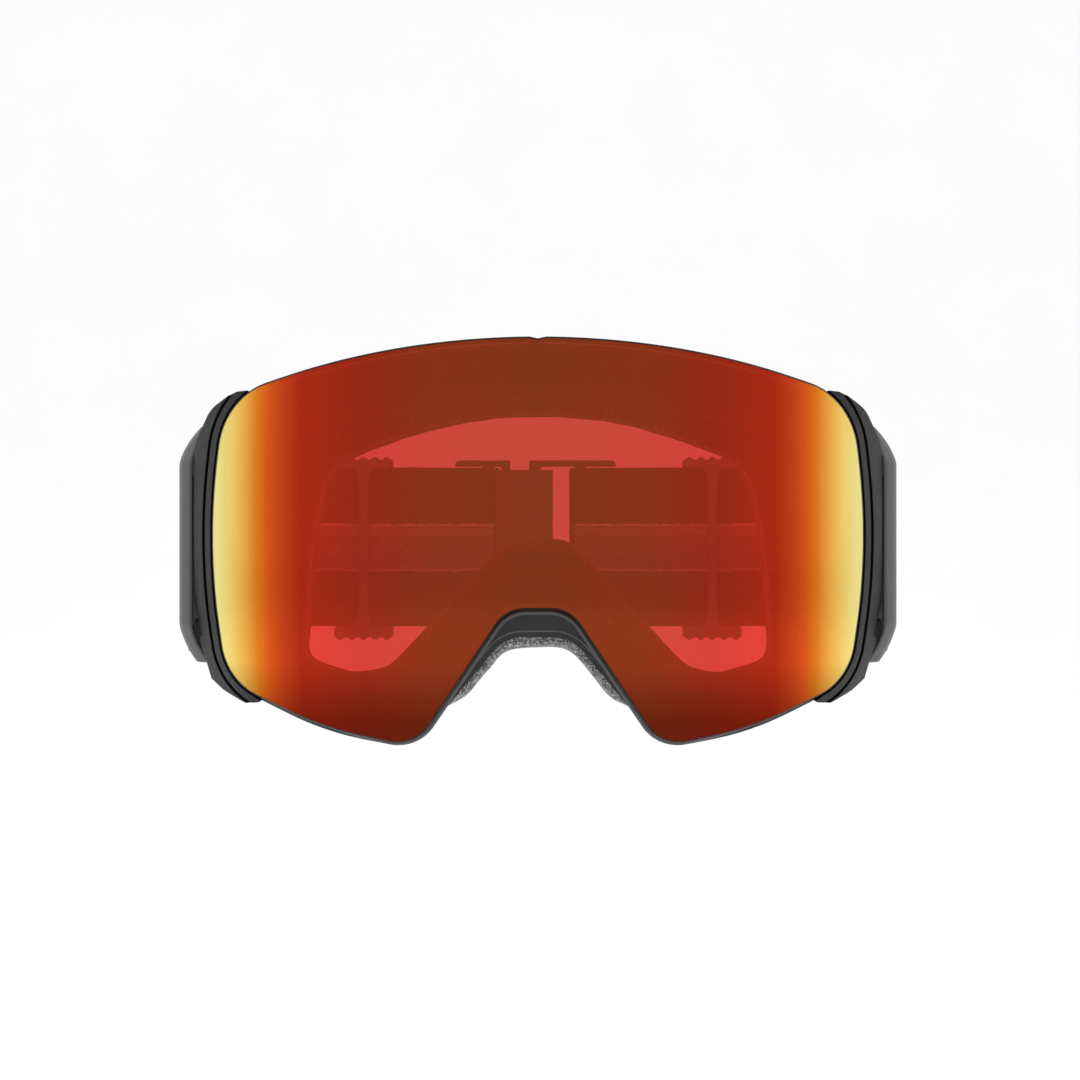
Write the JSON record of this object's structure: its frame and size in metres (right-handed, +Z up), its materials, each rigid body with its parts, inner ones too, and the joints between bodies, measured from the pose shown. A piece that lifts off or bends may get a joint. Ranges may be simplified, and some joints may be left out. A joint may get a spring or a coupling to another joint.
{
  "type": "snow goggles",
  "caption": "Wide snow goggles with a one-piece curved mirror lens, layered face foam, swinging side arms and a clip-together elastic strap with sliders.",
  "frame": {"origin": "middle of the face opening, on the plane where the forehead foam meets the head", "axes": "+Z up, +X towards the wearer's left, -Y the way the lens faces, so +Y points into the face"},
  "size_m": [0.186, 0.1955, 0.0977],
  "materials": {
    "mirror_lens": "red-orange mirror coating, see-through",
    "inner_pane": "clear",
    "gasket": "matte",
    "frame_plastic": "satin moulded",
    "outrigger_plastic": "satin moulded",
    "foam": "open-cell speckled",
    "fleece": "brushed fleece",
    "magnet": "plated",
    "steel": "brushed",
    "webbing": "woven elastic webbing",
    "silicone": "printed silicone",
    "slider_plastic": "satin"
  },
  "bodies": {
    "goggle_frame": {"frame": "frame_plastic", "frame_magnets": "magnet", "foam_carrier": "frame_plastic", "foam_base": "foam", "foam_mid": "foam", "face_fleece": "fleece", "vent_foam_top": "foam", "vent_foam_bottom": "foam", "side_bracket_left": "frame_plastic", "side_bracket_right": "frame_plastic", "outrigger_pin_left": "steel", "outrigger_pin_right": "steel"},
    "lens_unit": {"outer_lens": "mirror_lens", "inner_lens": "inner_pane", "lens_gasket": "gasket", "lens_keepers": "steel", "lens_lug_left": "frame_plastic", "lens_lug_right": "frame_plastic"},
    "outrigger_left": {"outrigger_left": "outrigger_plastic"},
    "outrigger_right": {"outrigger_right": "outrigger_plastic"},
    "strap_left": {"strap_left": "webbing", "strap_return_left": "webbing", "strap_grip_left": "silicone"},
    "strap_right": {"strap_right": "webbing", "strap_return_right": "webbing", "strap_grip_right": "silicone"},
    "slider_left": {"slider_left": "slider_plastic"},
    "slider_right": {"slider_right": "slider_plastic"},
    "clip_hook": {"clip_hook": "slider_plastic"},
    "clip_loop": {"clip_loop": "slider_plastic"}
  },
  "joints": [
    {"name": "lens_pull_off", "type": "slide", "parent": "goggle_frame", "child": "lens_unit", "axis": [0, -1, 0], "range_m": [0, 0.06]},
    {"name": "outrigger_left_hinge", "type": "hinge", "parent": "goggle_frame", "child": "outrigger_left", "pos_m": [0.085, 0.0105, 0], "axis": [0, 0, -1], "range_deg": [0, 10]},
    {"name": "strap_left_hinge", "type": "hinge", "parent": "outrigger_left", "child": "strap_left", "pos_m": [0.0896, 0.031, 0], "axis": [0, 0, 1], "range_deg": [0, 11.9]},
    {"name": "slider_left_slide", "type": "slide", "parent": "strap_left", "child": "slider_left", "axis": [-1, 0, 0], "range_m": [-0.002, 0.015], "deforming": ["strap_return_left"]},
    {"name": "outrigger_right_hinge", "type": "hinge", "parent": "goggle_frame", "child": "outrigger_right", "pos_m": [-0.085, 0.0105, 0], "axis": [0, 0, 1], "range_deg": [0, 10]},
    {"name": "strap_right_hinge", "type": "hinge", "parent": "outrigger_right", "child": "strap_right", "pos_m": [-0.0896, 0.031, 0], "axis": [0, 0, -1], "range_deg": [0, 11.9]},
    {"name": "slider_right_slide", "type": "slide", "parent": "strap_right", "child": "slider_right", "axis": [1, 0, 0], "range_m": [-0.002, 0.015], "deforming": ["strap_return_right"]},
    {"name": "clip_hook_hinge", "type": "hinge", "parent": "strap_right", "child": "clip_hook", "pos_m": [-0.015, 0.13995, 0], "axis": [0, 0, -1], "range_deg": [0, 25]},
    {"name": "clip_loop_hinge", "type": "hinge", "parent": "strap_left", "child": "clip_loop", "pos_m": [0.01295, 0.13995, 0], "axis": [0, 0, -1], "range_deg": [0, 25]}
  ],
  "couplings": [
    {"joint": "outrigger_right_hinge", "follows": "outrigger_left_hinge", "ratio": 1},
    {"joint": "strap_left_hinge", "follows": "outrigger_left_hinge", "ratio": 1.19},
    {"joint": "strap_right_hinge", "follows": "outrigger_left_hinge", "ratio": 1.19}
  ]
}
